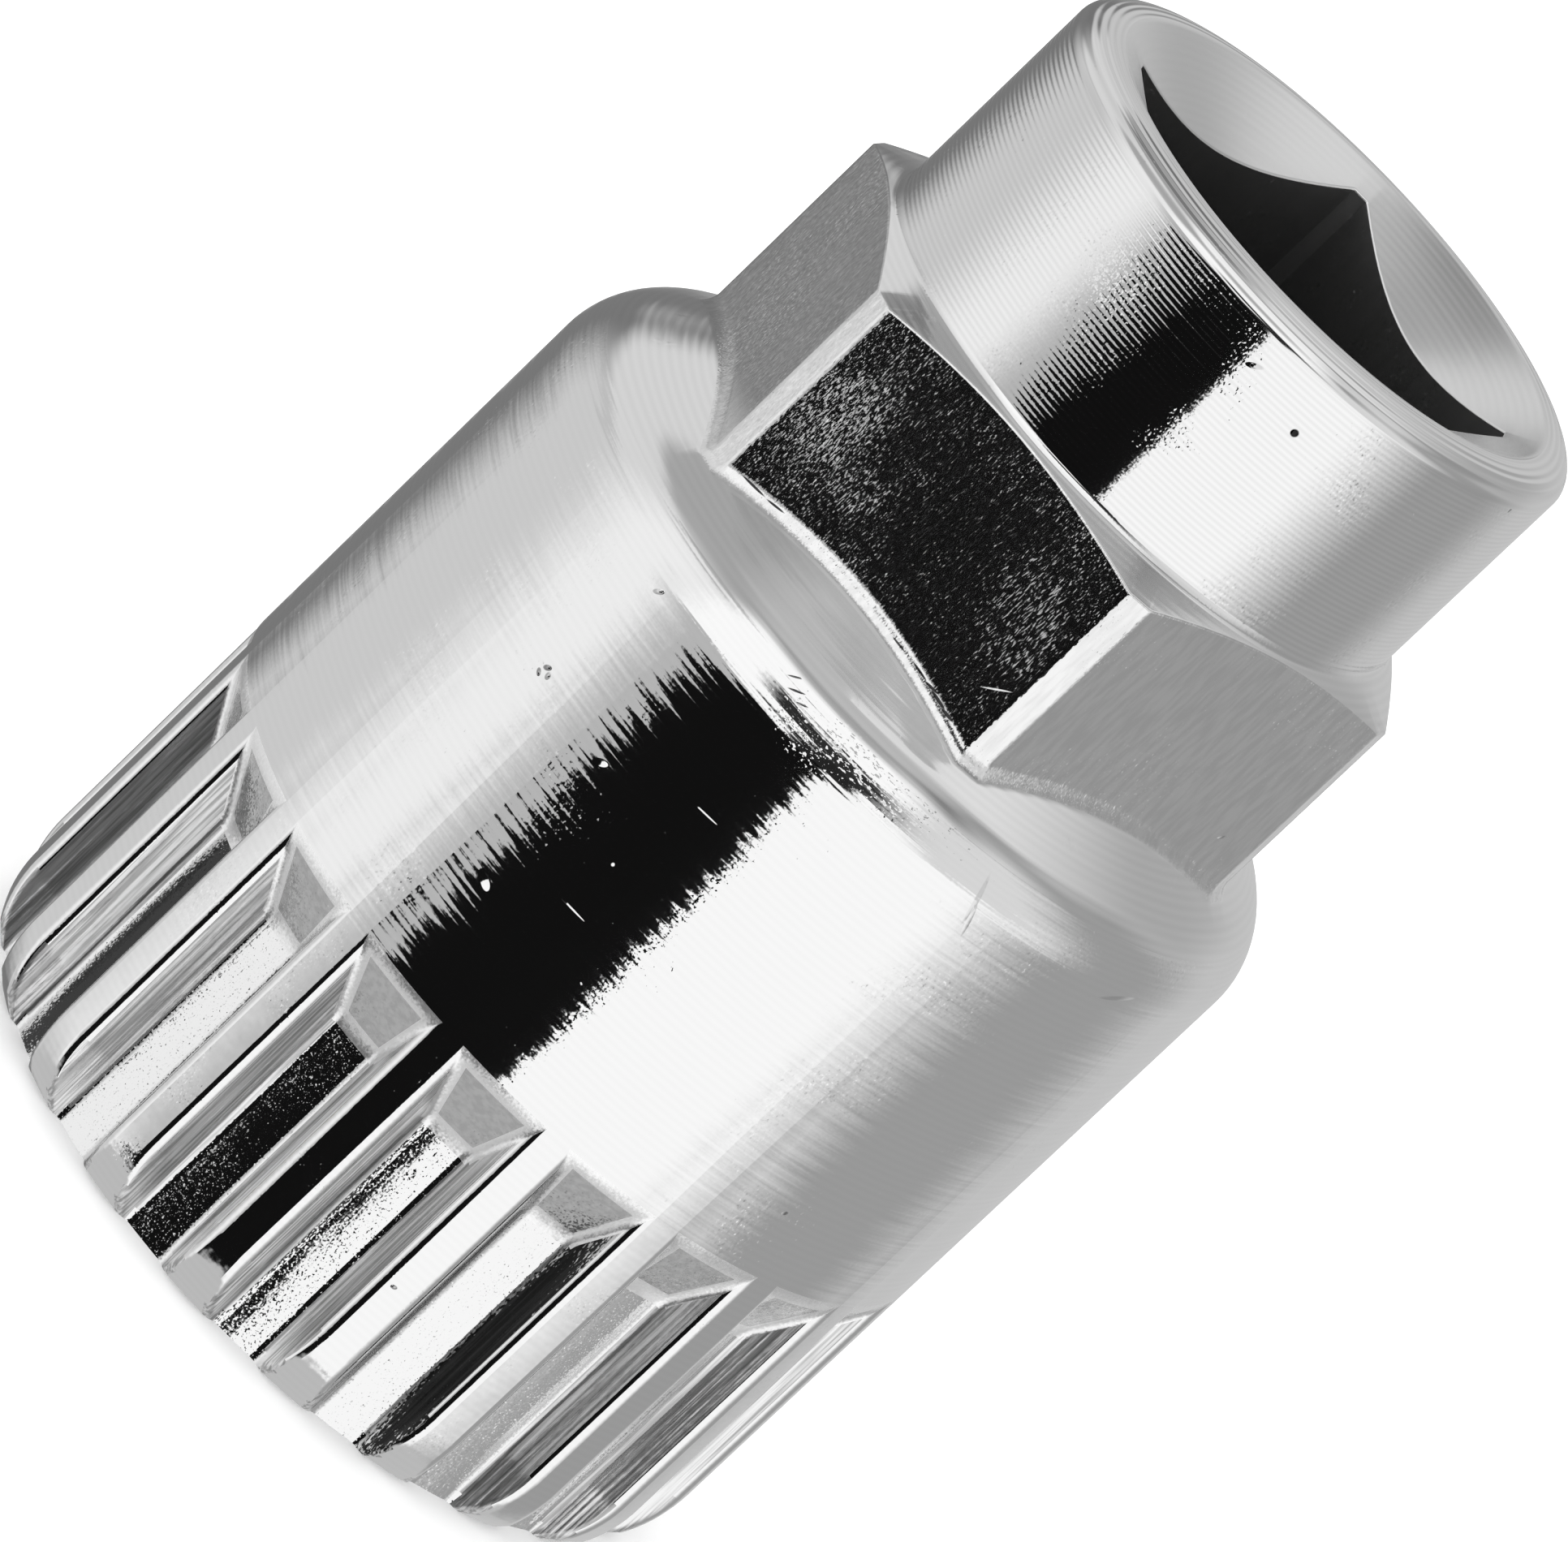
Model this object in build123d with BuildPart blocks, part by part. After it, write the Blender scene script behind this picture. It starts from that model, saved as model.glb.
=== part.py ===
# Bottom bracket tool: a one-piece plated steel socket for bottom bracket cups with twenty inner splines.
# It stands on its splined end. The origin is the middle of that end face, and +Z points to the drive end.
# The square drive and the hexagon have sides square to X. Sizes are in millimetres, angles in degrees.

import os
from math import cos, hypot, radians, sin, tan

from build123d import *

# Body and its lead-in at the splined end
body_diameter = 32.4
body_length = 29.4
lead_in_length = 3.0
lead_in_depth = 0.9
end_bevel_depth = 0.25
body_wall = 4.2
bore_depth = 30.0
bore_chamfer = 0.8

# Spline: grooves with slanted flanks, each ending in a ramp, and narrow crests between them
spline_count = 20
spline_length = 13.7
spline_turn = 1.6
groove_depth = 1.45
crest_width = 1.49
groove_flank_angle = 27.0
groove_ramp_angle = 27.0
groove_edge_chamfer = 0.13
ramp_foot_radius = 0.8

# Shoulder from the body up to the hexagon
shoulder_radius = 3.2
shoulder_slope = 30.0

# Hexagon for a spanner
hexagon_across_flats = 24.0
hexagon_height = 8.0
hexagon_corner_radius = 0.85
hexagon_chamfer_slope = 22.0
hexagon_foot_radius = 0.5

# Collar and its rim at the drive end
collar_diameter = 23.3
collar_length = 9.6
collar_foot_chamfer = 0.3
rim_round_width = 1.5
rim_round_height = 0.95

# Square drive, with a flat across each corner, and the countersink that leads into it
square_drive = 12.9
square_corner_width = 17.6
countersink_slope = 30.0

# How far a cutter reaches past the face that it cuts
overcut = 1.0

body_radius = body_diameter / 2
root_radius = body_radius - groove_depth
bore_radius = body_radius - body_wall
flat_distance = hexagon_across_flats / 2
collar_radius = collar_diameter / 2

# Heights and radii where the outline turns
crest_end_radius = body_radius - lead_in_depth
bevel_start_radius = crest_end_radius - end_bevel_depth
slope_angle = radians(shoulder_slope)
shoulder_top_radius = body_radius - shoulder_radius * (1 - sin(slope_angle))
shoulder_top = body_length + shoulder_radius * cos(slope_angle)
cone_tip = shoulder_top + shoulder_top_radius * tan(slope_angle)
hexagon_foot = cone_tip - flat_distance * tan(slope_angle)
hexagon_top = hexagon_foot + hexagon_height
rim_top = hexagon_top + collar_length
rim_round_start = rim_top - rim_round_height
rim_crest_radius = collar_radius - rim_round_width

# Edges are told apart by how near their ends come to the axis
near_floor = root_radius + groove_depth / 4


def end_radius(edge):
    return min(hypot(end.X, end.Y) for end in (edge @ 0, edge @ 1))


# One groove as a cutter: slanted flanks, then a floor and a ramp that go round the axis
flank_slant = tan(radians(groove_flank_angle))
pitch_half = body_radius * sin(radians(180 / spline_count))
opening_half = pitch_half - crest_width / 2
outer_half = opening_half + overcut * flank_slant
inner_half = opening_half - (groove_depth + overcut) * flank_slant
cutter_radius = body_radius + overcut
ramp_slant = tan(radians(groove_ramp_angle))
ramp_foot = spline_length - groove_depth / ramp_slant
cutter_top = spline_length + overcut / ramp_slant

with BuildPart() as groove:
    with BuildSketch(Plane.XY.offset(-overcut)):
        with BuildLine():
            Polyline(
                (root_radius - overcut, -inner_half),
                (cutter_radius, -outer_half),
                (cutter_radius, outer_half),
                (root_radius - overcut, inner_half),
                close=True,
            )
        make_face()
    extrude(amount=cutter_top + overcut)
    with BuildSketch(Plane.XZ):
        with BuildLine():
            Polyline(
                (root_radius, -overcut),
                (cutter_radius, -overcut),
                (cutter_radius, cutter_top),
                (root_radius, ramp_foot),
                close=True,
            )
        make_face()
    revolve(axis=Axis.Z, mode=Mode.INTERSECT)
    floor_edges = groove.edges().filter_by(lambda edge: end_radius(edge) < near_floor)
    fillet(floor_edges.filter_by(GeomType.CIRCLE).sort_by(Axis.Z)[-1], ramp_foot_radius)

# Body: the turned blank, its grooves with broken edges, and the bevel on the splined end
with BuildPart() as body:
    with BuildSketch(Plane.XZ):
        with BuildLine():
            end_face = Line((0, 0), (crest_end_radius, 0))
            lead_in = TangentArc((body_radius, lead_in_length), end_face @ 1, tangent=(0, -1))
            side = Line(lead_in @ 0, (body_radius, body_length))
            shoulder = TangentArc(side @ 1, (shoulder_top_radius, shoulder_top), tangent=(0, 1))
            cone = Line(shoulder @ 1, (0, cone_tip))
            Line(cone @ 1, end_face @ 0)
        make_face()
    revolve(axis=Axis.Z)
    with PolarLocations(0, spline_count, start_angle=spline_turn + 180 / spline_count):
        add(groove.part, mode=Mode.SUBTRACT)
    cut_edges = body.edges(Select.LAST).filter_by(lambda edge: end_radius(edge) > near_floor)
    crest_edges = cut_edges.filter_by(GeomType.CIRCLE, reverse=True)
    ramp_edges = cut_edges.filter_by(GeomType.CIRCLE).group_by(Axis.Z)[-1]
    chamfer(crest_edges + ramp_edges, groove_edge_chamfer)
    with BuildSketch(Plane.XZ):
        with BuildLine():
            Polyline(
                (bevel_start_radius - overcut, -overcut),
                (body_radius + overcut, -overcut),
                (body_radius + overcut, body_radius + overcut - bevel_start_radius),
                close=True,
            )
        make_face()
    revolve(axis=Axis.Z, mode=Mode.SUBTRACT)

# Hexagon with rounded corners, under a cone that takes its top corners off
cone_reach = flat_distance / cos(radians(30)) + overcut
hexagon_slant = tan(radians(hexagon_chamfer_slope))
hexagon_tip = hexagon_top + flat_distance * hexagon_slant

with BuildPart() as hexagon:
    with BuildSketch(Plane.XY.offset(body_length)) as outline:
        RegularPolygon(flat_distance, 6, major_radius=False, rotation=30)
        fillet(outline.vertices(), hexagon_corner_radius)
    extrude(amount=hexagon_tip - body_length)
    with BuildSketch(Plane.XZ):
        with BuildLine():
            Polyline(
                (0, body_length - overcut),
                (cone_reach, body_length - overcut),
                (cone_reach, hexagon_tip - cone_reach * hexagon_slant),
                (0, hexagon_tip),
                close=True,
            )
        make_face()
    revolve(axis=Axis.Z, mode=Mode.INTERSECT)

# Collar with a rounded rim
with BuildPart() as collar:
    with BuildSketch(Plane.XZ):
        with BuildLine():
            foot = Line((0, body_length), (collar_radius, body_length))
            Line(foot @ 1, (collar_radius, rim_round_start))
            rim_face = Line((rim_crest_radius, rim_top), (0, rim_top))
            TangentArc(rim_face @ 0, (collar_radius, rim_round_start), tangent=(1, 0))
            Line(rim_face @ 1, foot @ 0)
        make_face()
    revolve(axis=Axis.Z)

# Countersink: a cone from the rim down into the square
with BuildPart() as countersink:
    with BuildSketch(Plane.XZ):
        with BuildLine():
            Polyline(
                (0, rim_top),
                (rim_crest_radius, rim_top),
                (0, rim_top - rim_crest_radius * tan(radians(countersink_slope))),
                close=True,
            )
        make_face()
    revolve(axis=Axis.Z)

# Square drive, open into the bore
with BuildPart() as drive:
    with BuildSketch(Plane.XY.offset(bore_depth - overcut)):
        Rectangle(square_drive, square_drive)
        Rectangle(square_corner_width, square_corner_width, rotation=45, mode=Mode.INTERSECT)
    extrude(amount=rim_top + overcut - (bore_depth - overcut))

# Bore that clears the spindle, open at the splined end
with BuildPart() as bore:
    with BuildSketch(Plane.XZ):
        with BuildLine():
            opening = Line((0, -overcut), (bore_radius + bore_chamfer + overcut, -overcut))
            bevel = Line(opening @ 1, (bore_radius, bore_chamfer))
            wall = Line(bevel @ 1, (bore_radius, bore_depth))
            ceiling = Line(wall @ 1, (0, bore_depth))
            Line(ceiling @ 1, opening @ 0)
        make_face()
    revolve(axis=Axis.Z)

with BuildPart() as tool:
    add(body.part)
    add(hexagon.part)
    foot_edges = tool.edges(Select.NEW).filter_by(GeomType.LINE, reverse=True)
    fillet(foot_edges, hexagon_foot_radius)
    add(collar.part)
    foot_ring = tool.edges(Select.NEW).filter_by(GeomType.CIRCLE)
    chamfer(foot_ring, collar_foot_chamfer)
    add(countersink.part, mode=Mode.SUBTRACT)
    add(drive.part, mode=Mode.SUBTRACT)
    add(bore.part, mode=Mode.SUBTRACT)

tool.part.label = "bottom_bracket_tool"
os.makedirs("parts", exist_ok=True)
export_step(tool.part, "parts/bottom_bracket_tool.step")
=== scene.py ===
from functools import partial
from math import asin, atan2, cos, hypot, pi, radians, sin, sqrt, tan

import bmesh
import bpy
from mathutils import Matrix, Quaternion, Vector


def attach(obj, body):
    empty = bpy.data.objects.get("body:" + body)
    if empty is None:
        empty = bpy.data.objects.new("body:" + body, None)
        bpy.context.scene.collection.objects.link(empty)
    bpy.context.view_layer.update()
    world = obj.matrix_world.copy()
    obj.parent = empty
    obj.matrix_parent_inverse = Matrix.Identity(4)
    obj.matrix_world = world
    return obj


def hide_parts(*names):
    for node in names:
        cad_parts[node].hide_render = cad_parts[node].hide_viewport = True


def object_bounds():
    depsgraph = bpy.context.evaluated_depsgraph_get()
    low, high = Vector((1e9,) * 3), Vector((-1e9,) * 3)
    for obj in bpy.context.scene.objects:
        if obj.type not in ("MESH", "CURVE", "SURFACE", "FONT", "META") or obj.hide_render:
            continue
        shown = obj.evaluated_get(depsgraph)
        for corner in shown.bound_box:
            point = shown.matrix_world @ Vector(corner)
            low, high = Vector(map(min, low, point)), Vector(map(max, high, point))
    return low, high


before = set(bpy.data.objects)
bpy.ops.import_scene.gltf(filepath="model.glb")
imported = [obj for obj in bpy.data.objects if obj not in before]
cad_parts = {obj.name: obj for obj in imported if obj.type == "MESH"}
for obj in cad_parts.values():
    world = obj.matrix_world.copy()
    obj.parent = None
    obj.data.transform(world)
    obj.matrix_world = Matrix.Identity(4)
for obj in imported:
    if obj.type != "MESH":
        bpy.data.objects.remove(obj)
cadLow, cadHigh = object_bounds()
mm = 0.001                                      # the tool is worked out in millimetres
bodyRadius = (cadHigh.x - cadLow.x) / 2 / mm
rimTop = cadHigh.z / mm
print("frame loaded, body radius", round(bodyRadius, 3), "rim top", round(rimTop, 3))


# The tool's sizes, in millimetres and degrees. The edges named last are rounded: (width, segments).
tool = {
    "columns": 720, "first column": 1.5,
    "bevel radius": 15.05, "lead in radius": 15.3, "lead in length": 3.0, "lead in rings": 8,
    "body length": 29.4, "shoulder radius": 3.2, "shoulder slope": 30.0, "shoulder rings": 14,
    "hexagon flats": 24.0, "hexagon height": 8.0, "hexagon corners": 27.15, "hexagon slope": 22.0,
    "collar radius": 11.65, "rim width": 1.5, "rim height": 0.95, "rim rings": 12,
    "lip radius": 0.5, "lip rings": 4, "countersink slope": 30.0,
    "square side": 12.9, "square corners": 17.6,
    "bore radius": 12.0, "bore depth": 30.0, "bore bevel": 0.8,
    "sharp angle": 32.0, "normal weight": 60,
    "hexagon foot": (0.5, 5), "hexagon edge": (0.08, 3), "collar foot": (0.3, 4), "mouth edge": (0.07, 3),
}
groove = {
    "count": 20, "turn": 1.6, "length": 13.7, "depth": 1.45, "crest width": 1.49,
    "flank angle": 27.0, "ramp angle": 27.0,
    "crest columns": 5, "crest spread": 0.6, "side column": 0.16,
    "foot edge": (0.35, 3), "edge": (0.28, 3), "edge angle": 23.0, "head room": 0.5,
    "trim": 0.2, "trim snap": 0.0001,
}
touching = 0.001                                # heights this close are the same
near = 0.01                                     # and so are edges and walls this close


def nextRing(mesh, ring, place):
    made = bmesh.ops.extrude_edge_only(mesh, edges=ring)["geom"]
    column = mesh.verts.layers.int["column"]
    for vert in [item for item in made if isinstance(item, bmesh.types.BMVert)]:
        angle, radius, height = place(vert[column], vert.co)
        vert.co = (radius * cos(angle), radius * sin(angle), height)
    return [item for item in made if isinstance(item, bmesh.types.BMEdge)]


def turnedRing(mesh, ring, radius, height):
    return nextRing(mesh, ring, lambda at, co: (evenAngle(at), radius, height))


def milledRing(mesh, ring, radiusAt, heightAt):     # the radius goes by the angle, the height by the radius
    def place(at, co):
        angle = evenAngle(at)
        radius = radiusAt(angle)
        return angle, radius, heightAt(radius)
    return nextRing(mesh, ring, place)


def boredRing(mesh, ring, radius, height):      # keeps the columns where the spline has them
    return nextRing(mesh, ring, lambda at, co: (atan2(co.y, co.x), radius, height))


def roundEdges(mesh, edges, width, segments):
    bmesh.ops.bevel(mesh, geom=edges, offset=width, offset_type="OFFSET", affect="EDGES",
                    segments=segments, profile=0.5, material=-1, clamp_overlap=False)


def evenAngle(column):                          # the columns of the turned parts
    return radians(tool["first column"] + column * 360 / tool["columns"])


def foldedAngle(angle, sides):                  # the angle from the middle of the nearest side
    step = radians(360 / sides)
    return abs((angle + step / 2) % step - step / 2)


def hexagonRadius(angle):                       # a hexagon with its corners polished off
    off = foldedAngle(angle, 6)
    return min(tool["hexagon flats"] / 2 / cos(off), tool["hexagon corners"] / 2 / cos(radians(30) - off))


def squareRadius(angle):                        # a square with a flat across each corner
    off = foldedAngle(angle, 4)
    return min(tool["square side"] / 2 / cos(off), tool["square corners"] / 2 / cos(radians(45) - off))


def openingHalf(radius):                        # half the angle of a groove at this radius
    slant = tan(radians(groove["flank angle"]))
    widest = bodyRadius * sin(pi / groove["count"]) - groove["crest width"] / 2
    half = widest
    for _ in range(5):                          # the flank is straight, and the radius isn't
        half = widest - (bodyRadius - sqrt(radius ** 2 - half ** 2)) * slant
    return asin(half / radius)


def splineAngle(column, half):                  # the columns of the spline, bunched at the groove's edges
    perSector = tool["columns"] // groove["count"]
    sector, step = divmod(column, perSector)
    pitch = radians(360 / groove["count"])
    crest = groove["crest columns"]
    side = groove["side column"]
    crestHalf = pitch / 2 - half
    fromCrest = min(step, perSector - step)
    if fromCrest <= crest:                      # the column beside each edge is wide
        inner = crestHalf * groove["crest spread"] * fromCrest / (crest - 1)
        angle = crestHalf if fromCrest == crest else inner
        angle = angle if step <= crest else pitch - angle
    elif step == crest + 1:                     # a wide column each side leaves room for the bevels
        angle = crestHalf + 2 * half * side
    elif step == perSector - crest - 1:
        angle = pitch - crestHalf - 2 * half * side
    else:
        share = (step - crest - 1) / (perSector - 2 * crest - 2)
        angle = crestHalf + 2 * half * (side + (1 - 2 * side) * share)
    return radians(groove["turn"]) + sector * pitch + angle


def inGroove(face, column):
    perSector = tool["columns"] // groove["count"]
    crest = groove["crest columns"]
    steps = [vert[column] % perSector for vert in face.verts]
    return (all(crest <= step <= perSector - crest for step in steps)
            and all(vert.co.z < groove["length"] + near for vert in face.verts))


def cutGrooves(mesh):
    column = mesh.verts.layers.int["column"]
    root = bodyRadius - groove["depth"]
    floorHalf = openingHalf(root)
    rampFoot = groove["length"] - groove["depth"] / tan(radians(groove["ramp angle"]))
    openings = [face for face in mesh.faces if inGroove(face, column)]
    made = bmesh.ops.extrude_face_region(mesh, geom=openings)["geom"]
    for vert in [item for item in made if isinstance(item, bmesh.types.BMVert)]:
        angle = splineAngle(vert[column], floorHalf)
        vert.co = (root * cos(angle), root * sin(angle), min(vert.co.z, rampFoot))
    left = [face for face in openings if face.is_valid]
    ends = [face for face in mesh.faces if all(vert.co.z < -groove["trim"] / 2 for vert in face.verts)]
    bmesh.ops.delete(mesh, geom=left + ends, context="FACES")
    mesh.normal_update()

    # The foot of each ramp is rounder than the other edges
    foot = [edge for edge in mesh.edges if all(abs(vert.co.z - rampFoot) < near for vert in edge.verts)
            and all(hypot(vert.co.x, vert.co.y) < root + near for vert in edge.verts)]
    roundEdges(mesh, foot, *groove["foot edge"])
    mesh.normal_update()
    corners = [edge for edge in mesh.edges if len(edge.link_faces) == 2
               and max(vert.co.z for vert in edge.verts) < groove["length"] + groove["head room"]
               and abs(edge.calc_face_angle()) > radians(groove["edge angle"])]
    roundEdges(mesh, corners, *groove["edge"])


def makeSplinedEnd(mesh):                       # a bevel, then the rounded lead-in up to the full radius
    column = mesh.verts.layers.int.new("column")
    bmesh.ops.create_circle(mesh, segments=tool["columns"], radius=bodyRadius)
    step = 360 / tool["columns"]
    for vert in mesh.verts:
        angle = atan2(vert.co.y, vert.co.x)
        vert[column] = round((angle / radians(1) - tool["first column"]) / step) % tool["columns"]
    ring = list(mesh.edges)
    endRadius = tool["bevel radius"] - groove["trim"]
    for vert in mesh.verts:
        angle = splineAngle(vert[column], openingHalf(endRadius))
        vert.co = (endRadius * cos(angle), endRadius * sin(angle), -groove["trim"])

    length = tool["lead in length"]
    drop = bodyRadius - tool["lead in radius"]
    arc = (length ** 2 + drop ** 2) / (2 * drop)
    centre = bodyRadius - arc
    across = tool["bevel radius"] - centre
    bevelTop = (length - across + sqrt(2 * arc ** 2 - (length + across) ** 2)) / 2
    first = asin((length - bevelTop) / arc)
    for number in range(tool["lead in rings"] + 1):
        turn = first * (1 - number / tool["lead in rings"])
        radius = centre + arc * cos(turn)
        height = length - arc * sin(turn)
        half = openingHalf(radius)
        ring = nextRing(mesh, ring, lambda at, co: (splineAngle(at, half), radius, height))
    half = openingHalf(bodyRadius)
    ring = nextRing(mesh, ring, lambda at, co: (splineAngle(at, half), bodyRadius, groove["length"]))
    print("spline blank made")
    return ring


def makeOutside(mesh, ring):                    # from the body's side up to the rim and down the square
    length = tool["body length"]
    bend = tool["shoulder radius"]
    slope = radians(tool["shoulder slope"])
    for number in range(tool["shoulder rings"] + 1):
        turn = (radians(90) - slope) * number / tool["shoulder rings"]
        radius = bodyRadius - bend + bend * cos(turn)
        height = length + bend * sin(turn)
        ring = turnedRing(mesh, ring, radius, height)
    coneTip = height + radius * tan(slope)
    footRing = milledRing(mesh, ring, hexagonRadius, lambda reach: coneTip - reach * tan(slope))

    # The hexagon, under the cone that takes its top corners off
    flat = tool["hexagon flats"] / 2
    hexagonTop = coneTip - flat * tan(slope) + tool["hexagon height"]
    topSlope = tan(radians(tool["hexagon slope"]))
    topRing = milledRing(mesh, footRing, hexagonRadius, lambda reach: hexagonTop + (flat - reach) * topSlope)

    # The collar, its rounded rim and lip, and the countersink
    collar = tool["collar radius"]
    collarRing = turnedRing(mesh, topRing, collar, hexagonTop + (flat - collar) * topSlope)
    ring = collarRing
    for number in range(tool["rim rings"] + 1):
        turn = radians(90) * number / tool["rim rings"]
        radius = collar - tool["rim width"] * (1 - cos(turn))
        ring = turnedRing(mesh, ring, radius, rimTop - tool["rim height"] * (1 - sin(turn)))
    crest = radius
    sink = radians(tool["countersink slope"])
    lip = tool["lip radius"]
    for number in range(1, tool["lip rings"] + 1):
        turn = sink * number / tool["lip rings"]
        radius = crest - lip * sin(turn)
        height = rimTop - lip * (1 - cos(turn))
        ring = turnedRing(mesh, ring, radius, height)
    mouthRing = milledRing(mesh, ring, squareRadius, lambda reach: height - (radius - reach) * tan(sink))
    milledRing(mesh, mouthRing, squareRadius, lambda reach: tool["bore depth"])
    print("outside made")

    roundEdges(mesh, footRing, *tool["hexagon foot"])
    roundEdges(mesh, topRing, *tool["hexagon edge"])
    roundEdges(mesh, collarRing, *tool["collar foot"])
    roundEdges(mesh, mouthRing, *tool["mouth edge"])
    return hexagonTop, coneTip


def trimEnd(mesh):                              # the blank and its grooves start below the end face
    everything = list(mesh.verts) + list(mesh.edges) + list(mesh.faces)
    bmesh.ops.bisect_plane(mesh, geom=everything, dist=groove["trim snap"],
                           plane_co=(0, 0, 0), plane_no=(0, 0, -1), clear_outer=True)
    print("grooves cut")


def closeBore(mesh):                            # the end face and the bore, up to the square
    ring = [edge for edge in mesh.edges if edge.is_boundary and all(vert.co.z < near for vert in edge.verts)]
    ring = boredRing(mesh, ring, tool["bore radius"] + tool["bore bevel"], 0)
    ring = boredRing(mesh, ring, tool["bore radius"], tool["bore bevel"])
    ring = boredRing(mesh, ring, tool["bore radius"], tool["bore depth"])
    squareRing = [edge for edge in mesh.edges if edge.is_boundary and edge not in ring]
    bmesh.ops.bridge_loops(mesh, edges=ring + squareRing)
    bmesh.ops.recalc_face_normals(mesh, faces=list(mesh.faces))


# Where one finish gives way to the next: distances in millimetres, an angle in degrees, and parts of a normal
border = {
    "spline top": 0.05, "crest depth": 0.95, "crest angle": 0.2, "ramp height": 8.0,
    "floor height": 0.12, "floor facing": 0.85, "shoulder top": 2.0, "cone top": 0.05,
    "hexagon top": 0.02, "hexagon edge": 1.0, "collar side": 0.2, "rim radius": 10.1,
    "upright": 0.02, "leaning": 0.03, "lying": 0.8,
}


def foldedGroove(centre):                       # the angle from the middle of the nearest groove
    pitch = radians(360 / groove["count"])
    angle = atan2(centre.y, centre.x) - radians(groove["turn"])
    return abs(angle % pitch - pitch / 2)


def finishOf(face, hexagonTop, coneTip):        # which finish a face has, by its place
    centre = face.calc_center_median()
    radius = hypot(centre.x, centre.y)
    height = centre.z
    upward = face.normal.z
    outward = (face.normal.x * centre.x + face.normal.y * centre.y) / radius
    coneHeight = coneTip - radius * tan(radians(tool["shoulder slope"]))
    inBevel = radius < tool["bore radius"] + tool["bore bevel"] and height < tool["bore bevel"]
    inBore = radius < tool["bore radius"] + near and height < tool["bore depth"] + touching
    inSquare = radius < tool["square corners"] / 2 + near and abs(upward) < border["upright"]
    onHead = height < groove["length"] + groove["head room"] and upward < -border["upright"]
    besideCollar = radius > tool["collar radius"] + border["collar side"]
    if height < touching or inBevel:
        name = "endFace"
    elif inBore or inSquare:
        name = "inside"
    elif height < groove["length"] + border["spline top"] or onHead:
        name = splineFinish(centre, radius, height, upward, outward)
    elif height < tool["body length"] + border["shoulder top"]:
        name = "body"
    elif height < coneHeight + border["cone top"]:
        name = "cone"
    elif height < hexagonTop - border["hexagon top"] and besideCollar:
        onEdge = abs(upward) > border["lying"] and height > hexagonTop - border["hexagon edge"]
        name = "cone" if onEdge else "hexagon"
    elif height < rimTop - tool["rim height"] and radius > border["rim radius"]:
        name = "collar" if abs(upward) < border["lying"] else "cone"
    else:
        name = "rim" if radius > border["rim radius"] else "countersink"
    return finishNames.index(name)


def splineFinish(centre, radius, height, upward, outward):
    crestFrom = openingHalf(bodyRadius) - radians(border["crest angle"])
    rampUpward = -sin(radians(groove["ramp angle"]))
    if height > border["ramp height"] and abs(upward - rampUpward) < border["upright"]:
        return "ramp"
    if height > border["ramp height"] and upward < -border["leaning"]:
        return "frame"
    if radius > bodyRadius - border["crest depth"] and foldedGroove(centre) > crestFrom:
        return "crest"
    onFloor = radius < bodyRadius - groove["depth"] + border["floor height"]
    return "floor" if onFloor and outward > border["floor facing"] else "flank"


def makeTool():
    mesh = bmesh.new()
    ring = makeSplinedEnd(mesh)
    hexagonTop, coneTip = makeOutside(mesh, ring)
    cutGrooves(mesh)
    trimEnd(mesh)
    closeBore(mesh)
    for edge in mesh.edges:
        edge.smooth = edge.calc_face_angle(0) < radians(tool["sharp angle"])
    for face in mesh.faces:
        face.smooth = True
        face.material_index = finishOf(face, hexagonTop, coneTip)
    bmesh.ops.scale(mesh, vec=(mm, mm, mm), verts=list(mesh.verts))
    openEdges = [edge for edge in mesh.edges if not edge.is_manifold]
    volume = mesh.calc_volume() / mm ** 3
    print("tool closed, open edges", len(openEdges), "faces", len(mesh.faces), "volume", round(volume, 1))
    data = bpy.data.meshes.new("bottom_bracket_socket")
    mesh.to_mesh(data)
    mesh.free()
    piece = bpy.data.objects.new("bottom_bracket_socket", data)
    bpy.context.scene.collection.objects.link(piece)
    weighted = piece.modifiers.new("faceWeights", "WEIGHTED_NORMAL")
    weighted.keep_sharp = True
    weighted.weight = tool["normal weight"]
    return piece


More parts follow.
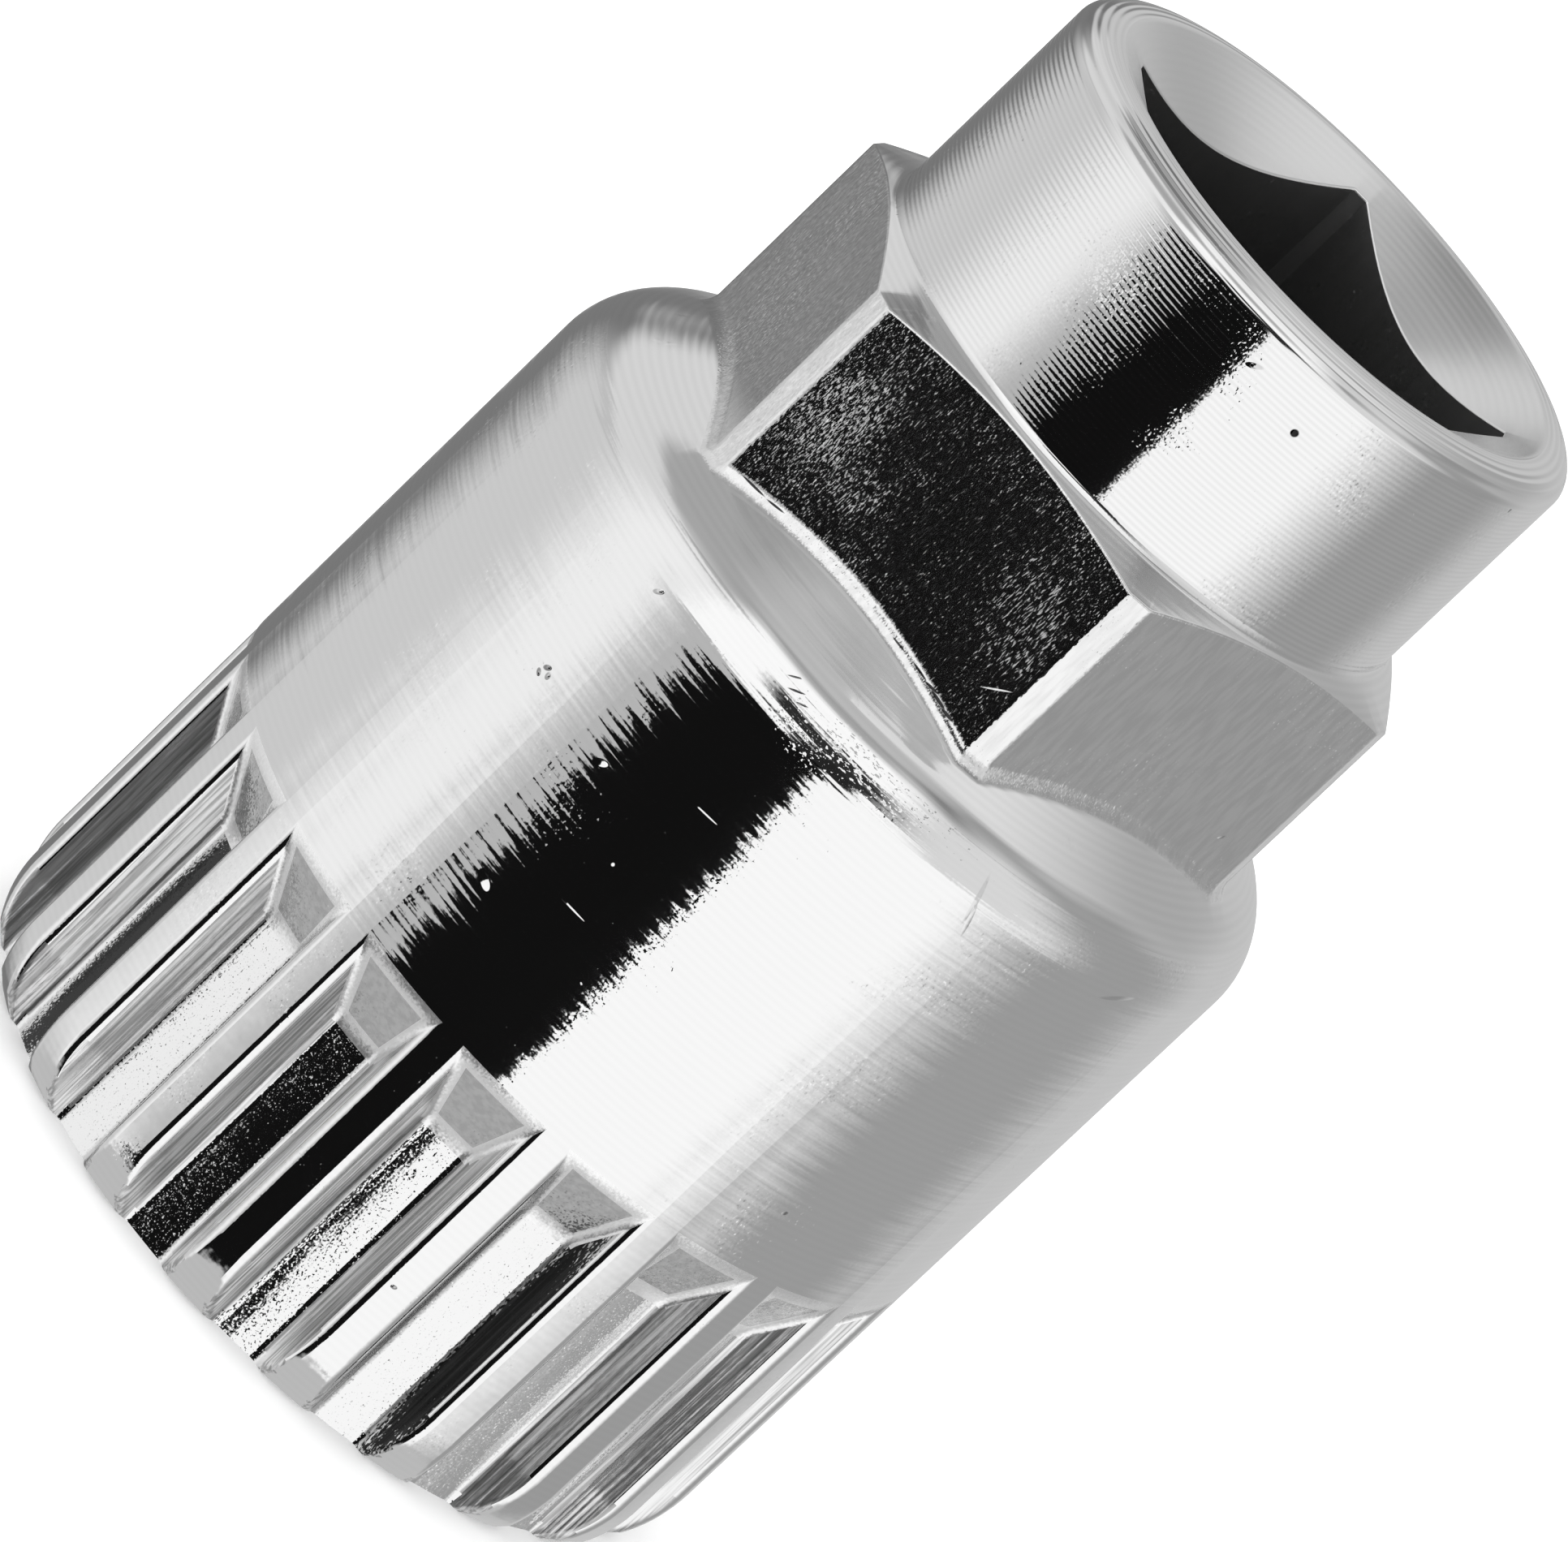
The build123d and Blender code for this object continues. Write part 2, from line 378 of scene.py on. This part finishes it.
# Chrome over turned and milled steel. Each finish tilts the surface a little, in layers of
# (grain round, grain along, tilt round, tilt along), in mm and radians. Two more values make a layer
# into pocks: (patch size, patch cover). Along is how much the height and the distance from the axis count.
# Turning lines are (spacing, tilt, darkness of the painted shade along them).
# Scoured finishes are darker in places: (down to this share, grain round, grain along).
finishes = {
    "body": {
        "turned": True, "colour": 0.88, "roughness": 0.05, "along": (1.0, -1.0), "lines": (0.31, 0.008, 0.02),
        "layers": [(9.0, 0.34, 0.01, 0.08), (5.0, 0.15, 0.05, 0.19), (0.14, 0.1, 0.024, 0.03),
                   (0.12, 0.16, 0.14, 0.14, 3.0, 0.48)],
    },
    "cone": {
        "turned": True, "colour": 0.88, "roughness": 0.1, "along": (0.5, -1.0), "lines": (0.4, 0.01, 0.05),
        "layers": [(7.0, 0.25, 0.02, 0.05), (0.3, 0.3, 0.1, 0.1, 2.0, 0.4)],
    },
    "collar": {
        "turned": True, "colour": 0.88, "roughness": 0.05, "along": (1.0, 0.0), "lines": (0.22, 0.05, 0.09),
        "layers": [(6.0, 0.22, 0.01, 0.05), (0.12, 0.1, 0.03, 0.03), (0.12, 0.14, 0.2, 0.2, 2.2, 0.5)],
        "deeper": {"azimuth": -124.0, "tilt": 0.28, "height": (40.0, 50.5)},
    },
    "rim": {
        "turned": True, "colour": 0.88, "roughness": 0.08, "along": (0.0, 1.0), "lines": (0.29, 0.2, 0.12),
        "layers": [(8.0, 0.2, 0.02, 0.06), (0.3, 0.3, 0.1, 0.1, 1.5, 0.4)],
    },
    "countersink": {
        "turned": True, "colour": 0.84, "roughness": 0.27, "along": (0.0, 1.0), "lines": (0.3, 0.015, 0.02),
        "layers": [(8.0, 0.25, 0.02, 0.04), (0.35, 0.35, 0.08, 0.08, 2.0, 0.4)],
    },
    "hexagon": {
        "turned": False, "colour": 0.86, "roughness": 0.1, "scoured": (0.9, 0.25, 1.4),
        "layers": [(0.1, 1.6, 0.04, 0.02), (0.05, 0.2, 0.13, 0.1), (0.05, 0.16, 0.3, 0.2, 5.0, 0.6)],
    },
    "flank": {
        "turned": False, "colour": 0.93, "roughness": 0.32, "scoured": (0.5, 0.12, 6.0),
        "layers": [(0.09, 7.0, 0.3, 0.04), (0.08, 0.3, 0.08, 0.08)],
    },
    "floor": {
        "turned": False, "colour": 0.87, "roughness": 0.07,
        "layers": [(0.12, 3.0, 0.05, 0.02), (0.08, 0.1, 0.24, 0.24, 5.0, 0.7)],
    },
    "ramp": {
        "turned": False, "colour": 0.7, "roughness": 0.2, "scoured": (0.86, 0.3, 0.2),
        "layers": [(0.5, 0.5, 0.1, 0.1), (0.1, 0.1, 0.3, 0.3)],
    },
    "frame": {                                  # the rounded edges round each ramp
        "turned": False, "colour": 1.0, "roughness": 0.34,
        "layers": [(0.6, 0.6, 0.08, 0.08), (0.1, 0.1, 0.2, 0.2)],
    },
    "crest": {
        "turned": True, "colour": 0.88, "roughness": 0.06, "along": (1.0, 0.0), "lines": (0.31, 0.01, 0.02),
        "layers": [(2.0, 0.5, 0.02, 0.04), (0.3, 0.3, 0.02, 0.06), (0.08, 0.1, 0.16, 0.16, 3.0, 0.5)],
    },
    "endFace": {
        "turned": True, "colour": 0.84, "roughness": 0.12, "along": (0.0, 1.0), "lines": (0.25, 0.03, 0.06),
        "layers": [(6.0, 0.3, 0.02, 0.03)],
    },
    "inside": {                                 # the bore and the square
        "turned": False, "colour": 0.4, "roughness": 0.3,
        "layers": [(0.3, 3.0, 0.06, 0.03), (0.2, 0.2, 0.2, 0.2, 1.5, 0.5)],
    },
}
finishNames = list(finishes)

# Small marks in the plating, by finish:
# (place in mm, half length and half width, turn from level, dishing, tilt round and along, darkness)
marks = {
    "collar": [
        ((10.13, -5.76, 48.44), (0.15, 0.15), 20, 0.5, (0, 0), 0.97),
        ((11.06, 3.65, 50.3), (0.07, 0.16), 0, 0.3, (0, 0), 0.6),
        ((8.6, -7.86, 49.2), (0.3, 0.1), 30, 0.3, (0, 0), 0.2),
    ],
    "body": [
        ((3.52, -15.81, 24.76), (0.17, 0.1), 35, 0.9, (0, 0), 0.6),
        ((3.4, -15.84, 24.42), (0.14, 0.09), -40, 0.9, (0, 0), 0.5),
        ((3.75, -15.76, 24.6), (0.1, 0.14), 10, 0.9, (0, 0), 0.3),
        ((7.3, -14.46, 18.42), (0.4, 0.19), -25, 0.2, (0.35, 0), 0.0),
        ((7.16, -14.53, 24.28), (0.3, 0.14), 30, 0.2, (0.35, 0), 0.0),
        ((9.51, -13.11, 20.14), (0.75, 0.035), 2, 0.2, (0.2, 0), 0.0),
        ((10.2, -12.6, 25.9), (0.6, 0.03), 4, 0.2, (0.2, 0), 0.0),
        ((9.4, -12.85, 31.05), (0.3, 0.035), 24, 0.3, (0, 0), 0.9),
        ((9.1, -13.1, 31.3), (0.26, 0.03), 30, 0.3, (0, 0), 0.85),
        ((9.8, -12.6, 30.9), (0.22, 0.03), 20, 0.3, (0, 0), 0.8),
        ((4.29, -15.41, 29.59), (0.22, 0.1), 40, 0.8, (0, 0), 0.2),
        ((9.55, -13.08, 22.28), (0.07, 0.07), 0, 0.2, (0.3, 0), 0.0),
        ((15.63, 2.3, 29.6), (0.8, 0.1), 15, 0.25, (0, 0), 0.2),
        ((14.7, -5.23, 30.03), (0.1, 0.9), 12, 0.2, (0, 0), 0.15),
        ((14.9, -5.0, 29.4), (0.08, 0.7), 20, 0.2, (0, 0), 0.1),
        ((16.13, -1.5, 16.65), (0.12, 0.08), 30, 0.5, (0, 0), 0.6),
    ],
    "crest": [
        ((11.88, -11.02, 8.9), (0.18, 0.1), 60, 0.8, (0, 0), 0.4),
        ((13.2, -9.3, 6.0), (0.12, 0.08), 20, 0.7, (0, 0), 0.4),
    ],
    "hexagon": [
        ((1.5, -12.99, 33.38), (0.5, 0.045), 7, 0, (0, 0), 0.95),
        ((2.4, -12.47, 33.52), (0.36, 0.04), 12, 0, (0, 0), 0.95),
        ((7.9, -9.3, 33.72), (0.3, 0.035), -2, 0, (0, 0), 0.9),
        ((8.9, -8.72, 33.66), (0.36, 0.04), -6, 0, (0, 0), 0.95),
        ((9.5, -8.37, 33.6), (0.3, 0.05), 4, 0, (0, 0), 0.95),
        ((9.9, -8.14, 33.5), (0.4, 0.06), -8, 0, (0, 0), 0.95),
        ((10.4, -7.85, 33.4), (0.3, 0.06), -2, 0, (0, 0), 0.95),
        ((11.2, 4.4, 34.9), (0.2, 0.06), 40, 0.5, (0, 0), 0.3),
        ((10.9, -7.6, 35.3), (0.5, 0.03), 42, 0, (-0.3, 0), 0.0),
    ],
}
# Rough patches, by finish. The dark ones, in three grooves, stand for narrow dark reflections.
# (place, half length and half width, turn, grain round and along, tilt round and along, cover, darkness)
patches = {
    "collar": [
        ((3.98, -10.95, 47.6), (2.0, 1.5), -20, (0.1, 0.1), (-0.3, 0), 0.5, 0),
    ],
    "body": [
        ((12.2, -9.9, 30.9), (4.2, 0.8), 0, (0.2, 0.12), (0, 0.3), 0.45, 0),
        ((10.4, -12.3, 30.2), (1.8, 0.7), -10, (0.12, 0.1), (0.3, 0), 0.45, 0),
        ((11.6, -11.3, 20.0), (0.5, 8.0), 0, (0.12, 0.1), (-0.12, 0), 0.45, 0),
    ],
    "hexagon": [
        ((1.84, -12.79, 37.3), (1.7, 3.0), -14, (0.05, 0.2), (-0.12, 0), 0.56, 0),
        ((3.6, -11.8, 36.0), (1.5, 1.5), 0, (0.05, 0.2), (-0.12, 0), 0.46, 0),
        ((9.98, -8.09, 37.6), (2.0, 3.0), 20, (0.05, 0.24), (-0.12, 0), 0.48, 0),
    ],
    "floor": [
        ((9.9, -10.92, 6.0), (0.5, 7.5), 0, (0.06, 0.12), (0, 0), 0.9, 0.95),
        ((-1.87, -14.63, 5.5), (0.7, 7.0), 0, (0.06, 0.1), (0, 0), 1.35, 0.93),
    ],
    "flank": [
        ((14.3, -5.3, 6.0), (0.32, 6.4), 0, (0.07, 0.2), (0, 0), 1.35, 0.95),
    ],
}
# How sharply the lines, pocks, marks and patches stand out.
# A shift moves each layer or patch to a fresh place in the noise.
pattern = {
    "line wander": 5.0, "wander grain": (14.0, 3.0), "layer shift": (17.0, 5.0), "patch shift": (9.0, 31.0),
    "pock depth": 3.5, "pock contrast": 5.0, "scour contrast": 5.0, "scour from": 0.4,
    "mark reach": 1.15, "mark contrast": 3.0, "mark thickness": 6.0,
    "patch reach": 1.5, "speck level": 0.75, "speck rise": 0.45, "speck contrast": 10.0,
}


def wire(socket, value):                        # a link from another node, or a fixed value
    if isinstance(value, bpy.types.NodeSocket):
        socket.id_data.links.new(value, socket)
    else:
        socket.default_value = value


def addNode(tree, kind, inputs, output=0, **settings):
    node = tree.nodes.new("ShaderNode" + kind)
    for name, setting in settings.items():
        setattr(node, name, setting)
    for place, value in inputs.items():
        wire(node.inputs[place], value)
    return node.outputs[output]


def addMath(tree, operation, *values, clamp=False):
    return addNode(tree, "Math", dict(enumerate(values)), operation=operation, use_clamp=clamp)


def splitVector(tree, value):
    node = tree.nodes.new("ShaderNodeSeparateXYZ")
    wire(node.inputs[0], value)
    return node.outputs


def makeFinish(name, finish):
    material = bpy.data.materials.new(name)
    material.use_nodes = True
    tree = material.node_tree
    shader = tree.nodes["Principled BSDF"]
    math = partial(addMath, tree)

    def vector(operation, *values):
        inputs = {0: values[0], "Scale": values[1]} if operation == "SCALE" else dict(enumerate(values))
        output = "Value" if operation in ("LENGTH", "DOT_PRODUCT") else "Vector"
        return addNode(tree, "VectorMath", inputs, output, operation=operation)

    def join(x, y, z=0.0):
        return addNode(tree, "CombineXYZ", {0: x, 1: y, 2: z})

    def noise(place, detail, output):
        return addNode(tree, "TexNoise", {"Vector": place, "Scale": 1, "Detail": detail}, output)

    # Where a point is, in millimetres, and which way it lies from the axis
    place = vector("SCALE", tree.nodes.new("ShaderNodeTexCoord").outputs["Object"], 1 / mm)
    x, y, z = splitVector(tree, place)
    radius = vector("LENGTH", join(x, y))
    east = math("DIVIDE", x, radius)
    north = math("DIVIDE", y, radius)
    turned = finish["turned"]
    if turned:                                  # how far along the outline it is
        byHeight, byRadius = finish["along"]
        along = math("ADD", math("MULTIPLY", z, byHeight), math("MULTIPLY", radius, byRadius))

    def grain(roundSize, alongSize):            # a place for noise, which follows the circle on turned parts
        if not turned:
            return vector("MULTIPLY", place, (1 / roundSize, 1 / roundSize, 1 / alongSize))
        ring = bodyRadius / roundSize
        return join(math("MULTIPLY", east, ring), math("MULTIPLY", north, ring),
                    math("DIVIDE", along, alongSize))

    def spot(middle, size, turn):               # where a point is in a spot, in the spot's half sizes
        reach = hypot(middle[0], middle[1])
        sideways = Vector((-middle[1] / reach, middle[0] / reach, 0))
        axis = sideways * cos(radians(turn)) + Vector((0, 0, sin(radians(turn))))
        across = Vector((0, 0, cos(radians(turn)))) - sideways * sin(radians(turn))
        outward = Vector((middle[0], middle[1], 0)) / reach
        outward = outward / pattern["mark thickness"]               # keeps the spot off the far side
        offset = vector("SUBTRACT", place, middle)
        ways = (axis / size[0], across / size[1], outward)
        return join(*[vector("DOT_PRODUCT", offset, tuple(way)) for way in ways])

    # The tilt of the surface: turning lines first
    total = (0, 0, 0)
    paintedLineShade = 0
    if "lines" in finish:
        spacing, tilt, paintedLineShade = finish["lines"]
        wander = math("MULTIPLY", noise(grain(*pattern["wander grain"]), 1, "Fac"), pattern["line wander"])
        wave = math("SINE", math("ADD", math("MULTIPLY", along, 2 * pi / spacing), wander))
        if "deeper" in finish:                  # the lines are deeper on one side, towards the rim
            deeper = finish["deeper"]
            side = radians(deeper["azimuth"])
            facing = math("MULTIPLY", east, cos(side))
            facing = math("ADD", facing, math("MULTIPLY", north, sin(side)), clamp=True)
            low, high = deeper["height"]
            rise = math("MULTIPLY", math("SUBTRACT", z, low), 1 / (high - low), clamp=True)
            tilt = math("ADD", math("MULTIPLY", math("MULTIPLY", facing, rise), deeper["tilt"]), tilt)
        total = join(0.0, math("MULTIPLY", wave, tilt))

    # Then the layers of grain
    apart, aside = pattern["layer shift"]
    for number, (roundSize, alongSize, tiltRound, tiltAlong, *pocks) in enumerate(finish["layers"]):
        shifted = vector("ADD", grain(roundSize, alongSize), (apart * number, aside, 0))
        layer = vector("SUBTRACT", noise(shifted, 2, "Color"), (0.5, 0.5, 0.5))
        if pocks:                               # few and sharp, only in patches
            layer = vector("SCALE", layer, pattern["pock depth"])
            layer = vector("MULTIPLY", layer, vector("MULTIPLY", layer, layer))
        layer = vector("MULTIPLY", layer, (2 * tiltRound, 2 * tiltAlong, 0))
        if pocks:
            patch, cover = pocks
            amount = math("SUBTRACT", noise(vector("SCALE", place, 1 / patch), 3, "Fac"), 1 - cover)
            layer = vector("SCALE", layer, math("MULTIPLY", amount, pattern["pock contrast"], clamp=True))
        total = vector("ADD", total, layer)

    # Then the pits, flecks and short scratches, and the rough patches; the dark patches are painted
    # reflections
    marksAndPaintedReflections = 0.0
    for middle, size, turn, dish, lean, darkness in marks.get(name, []):
        where = spot(middle, size, turn)
        inMark = math("SUBTRACT", pattern["mark reach"], vector("LENGTH", where))
        inMark = math("MULTIPLY", inMark, pattern["mark contrast"], clamp=True)
        dent = vector("ADD", vector("SCALE", where, dish), (*lean, 0))
        total = vector("ADD", total, vector("SCALE", dent, inMark))
        if darkness:
            marksAndPaintedReflections = math("MAXIMUM", marksAndPaintedReflections, math("MULTIPLY", inMark, darkness))
    apart, aside = pattern["patch shift"]
    for number, (middle, size, turn, grains, lean, cover, darkness) in enumerate(patches.get(name, [])):
        off = vector("LENGTH", spot(middle, size, turn))
        inPatch = math("SUBTRACT", pattern["patch reach"], off, clamp=True)
        speck = noise(vector("ADD", grain(*grains), (apart * number, aside, 0)), 3, "Fac")
        level = math("MULTIPLY_ADD", inPatch, -pattern["speck rise"] * cover, pattern["speck level"])
        speck = math("MULTIPLY", math("SUBTRACT", speck, level), pattern["speck contrast"], clamp=True)
        total = vector("ADD", total, vector("SCALE", (*lean, 0), speck))
        # painted reflection: a dark patch darkens the colour in a groove, standing for a narrow dark
        # reflection
        if darkness:
            marksAndPaintedReflections = math("MAXIMUM", marksAndPaintedReflections, math("MULTIPLY", speck, darkness))

    # Tilt the normal round the axis and along the outline
    normal = tree.nodes.new("ShaderNodeNewGeometry").outputs["Normal"]
    if turned:
        roundWay = join(math("MULTIPLY", north, -1.0), east)
    else:
        roundWay = vector("NORMALIZE", vector("CROSS_PRODUCT", (0, 0, 1), normal))
    alongWay = vector("CROSS_PRODUCT", normal, roundWay)
    tiltRound, tiltAlong, _ = splitVector(tree, total)
    tilted = vector("ADD", normal, vector("SCALE", roundWay, tiltRound))
    tilted = vector("ADD", tilted, vector("SCALE", alongWay, tiltAlong))
    wire(shader.inputs["Normal"], vector("NORMALIZE", tilted))

    # The colour, darker in scoured places and dark marks, with painted shade along the turning lines and
    # painted dark reflections in three grooves
    shade = finish["colour"]
    light = None
    if "scoured" in finish:
        share, roundSize, alongSize = finish["scoured"]
        contrast = pattern["scour contrast"]
        grey = noise(grain(roundSize, alongSize), 3, "Fac")
        grey = math("MULTIPLY_ADD", grey, contrast, -contrast * pattern["scour from"], clamp=True)
        light = math("MULTIPLY_ADD", grey, 1 - share, share)
    elif paintedLineShade:
        # painted shade: the colour darkens along one half of each turning line's wave
        light = math("MULTIPLY_ADD", wave, paintedLineShade / 2, 1 - paintedLineShade / 2)
    if marksAndPaintedReflections != 0.0:
        light = math("MULTIPLY", light or 1.0, math("SUBTRACT", 1.0, marksAndPaintedReflections))
    if light:
        wire(shader.inputs["Base Color"], join(*[math("MULTIPLY", light, shade)] * 3))
    else:
        shader.inputs["Base Color"].default_value = (shade, shade, shade, 1)
    shader.inputs["Metallic"].default_value = 1
    shader.inputs["Roughness"].default_value = finish["roughness"]
    return material


piece = makeTool()
for name, finish in finishes.items():
    piece.data.materials.append(makeFinish(name, finish))
print("finishes made")
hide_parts("bottom_bracket_tool")
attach(piece, "root")


# The camera stands where the photograph was taken from: angles in degrees, distances in metres,
# lens and sensor in millimetres
view = {
    "azimuth": 41.7, "elevation": 18.0026, "roll": 46.3622, "distance": 0.48638,
    "target height": 0.0237, "target right": 0.00013, "lens": 322.0, "sensor": 36.0, "clip": (0.01, 20.0),
}


def makeCamera():
    turn, lift = radians(view["azimuth"]), radians(view["elevation"])
    back = Vector((sin(turn) * cos(lift), -cos(turn) * cos(lift), sin(lift)))
    side = Vector((cos(turn), sin(turn), 0))
    target = side * view["target right"] + Vector((0, 0, view["target height"]))
    roll = Quaternion((0, 0, 1), radians(view["roll"]))
    camera = bpy.data.objects.new("camera", bpy.data.cameras.new("camera"))
    bpy.context.scene.collection.objects.link(camera)
    camera.location = target + back * view["distance"]
    camera.rotation_mode = "QUATERNION"
    camera.rotation_quaternion = (-back).to_track_quat("-Z", "Y") @ roll
    camera.data.lens = view["lens"]
    camera.data.sensor_width = view["sensor"]
    camera.data.clip_start, camera.data.clip_end = view["clip"]
    bpy.context.scene.camera = camera


makeCamera()
print("camera placed")


# The studio: soft cards that the chrome reflects. They stand still, placed by elevation and by azimuth from
# the side that was photographed. Each edge fades between two angles, and two more values slant a card's
# left and right sides.
studio = {"room light": 1.6, "dim corner": 0.2}
down, up = (-95, -91), (91, 95)                 # fades past the nadir and the zenith, so no edge is there
leftEnd, rightEnd = (-400, -300), (300, 400)    # and none round the side
cards = {
    # name: (azimuth of the left fade, of the right fade, elevation of the low fade, of the high fade, level)
    "right wall": ((55, 80), (165, 190), down, up, 0.36),
    "far right wall": ((112, 145), (172, 194), down, up, 0.58),
    "back wall": ((120, 140), (180, 190), (4, 30), up, 0.44),
    "left wall": ((-152, -118), (-60, -30), down, (30, 55), 0.66),
    "upper left wall": ((-148, -138), (-60, -40), (10, 24), up, 0.42),
    "front left": ((-65, -55), (0, 20), down, (30, 55), 0.52),
    "left back": ((-178, -168), (-60, -40), (14, 24), (42, 48), 0.74),
    "left softbox": ((-100, -66), (-60, -38), down, (25, 60), 0.96),
    "front top": ((-60, -40), (40, 62), (2, 7), (56, 72), 1.08),
    "right top": ((25, 45), (70, 100), (-10, 4), (45, 65), 0.76),
    "right softbox": ((3, 9), (50, 90), down, (2, 9), 1.06),
    "ceiling": (leftEnd, rightEnd, (64, 76), up, 0.55),
    "upper right wall": ((90, 120), (170, 196), (36, 68), up, 0.82),
    "back light": ((156, 170), (192, 206), (6, 14), (44, 60), 0.6),
    "table": (leftEnd, rightEnd, down, (-48, -38), 0.55),
    "black flag": ((-20, -17), (7, 8.5), (-46, -38), (0, 4), 0.006, -0.8, 0),
    "flag arm": ((-12, -6), (12, 16), (-4, 0), (22, 34), 0.02, -0.8, -0.3),
    "flag bar": ((-24, -12), (14, 46), (15, 20), (31, 38), 0.03),
}


def makeStudio():
    world = bpy.data.worlds.new("studio")
    bpy.context.scene.world = world
    world.cycles.sampling_method = "NONE"       # the cards are for reflections only
    world.use_nodes = True
    tree = world.node_tree
    tree.nodes.clear()
    math = partial(addMath, tree)

    def mix(amount, first, second):
        return addNode(tree, "Mix", {0: amount, 2: first, 3: second})

    def fade(value, start, end, before, after):
        inputs = dict(enumerate((value, start, end, before, after)))
        return addNode(tree, "MapRange", inputs, interpolation_type="SMOOTHSTEP")

    # A direction's elevation and azimuth
    east, north, height = splitVector(tree, tree.nodes.new("ShaderNodeTexCoord").outputs["Generated"])
    elevation = math("MULTIPLY", math("ARCSINE", height), 180 / pi)
    turn = radians(view["azimuth"])
    forwards = math("ADD", math("MULTIPLY", east, sin(turn)), math("MULTIPLY", north, -cos(turn)))
    sideways = math("ADD", math("MULTIPLY", east, cos(turn)), math("MULTIPLY", north, sin(turn)))
    azimuth = math("MULTIPLY", math("ARCTAN2", sideways, forwards), 180 / pi)

    bright = studio["dim corner"]
    for leftFade, rightFade, lowFade, highFade, level, *leans in cards.values():
        middle = (leftFade[1] + rightFade[0]) / 2
        off = math("WRAP", math("SUBTRACT", azimuth, middle), 180.0, -180.0)
        leftSide, rightSide = [math("MULTIPLY_ADD", elevation, lean, off) for lean in leans or (0, 0)]
        left = fade(leftSide, leftFade[0] - middle, leftFade[1] - middle, 0.0, 1.0)
        right = fade(rightSide, rightFade[0] - middle, rightFade[1] - middle, 1.0, 0.0)
        amount = math("MULTIPLY", left, right)
        amount = math("MULTIPLY", amount, fade(elevation, *lowFade, 0.0, 1.0))
        amount = math("MULTIPLY", amount, fade(elevation, *highFade, 1.0, 0.0))
        bright = mix(amount, bright, level)
    seenInGloss = tree.nodes.new("ShaderNodeLightPath").outputs["Is Glossy Ray"]
    strength = mix(seenInGloss, studio["room light"], bright)
    light = addNode(tree, "Background", {"Color": (1, 1, 1, 1), "Strength": strength})
    wire(tree.nodes.new("ShaderNodeOutputWorld").inputs["Surface"], light)


makeStudio()
bpy.context.scene.view_settings.view_transform = "Standard"


# The floor, in metres
floorLook = {"half size": 4.0, "colour": (0.93, 0.93, 0.93, 1), "roughness": 0.9}


def makeFloor():
    mesh = bmesh.new()
    bmesh.ops.create_grid(mesh, x_segments=1, y_segments=1, size=floorLook["half size"])
    data = bpy.data.meshes.new("floor")
    mesh.to_mesh(data)
    mesh.free()
    floor = bpy.data.objects.new("floor", data)
    bpy.context.scene.collection.objects.link(floor)
    material = bpy.data.materials.new("paleFloor")
    material.use_nodes = True
    shader = material.node_tree.nodes["Principled BSDF"]
    shader.inputs["Base Color"].default_value = floorLook["colour"]
    shader.inputs["Roughness"].default_value = floorLook["roughness"]
    shader.inputs["Specular IOR Level"].default_value = 0
    data.materials.append(material)
    floor.visible_glossy = False                # the chrome reflects the cards instead


makeFloor()
print("studio and floor made")
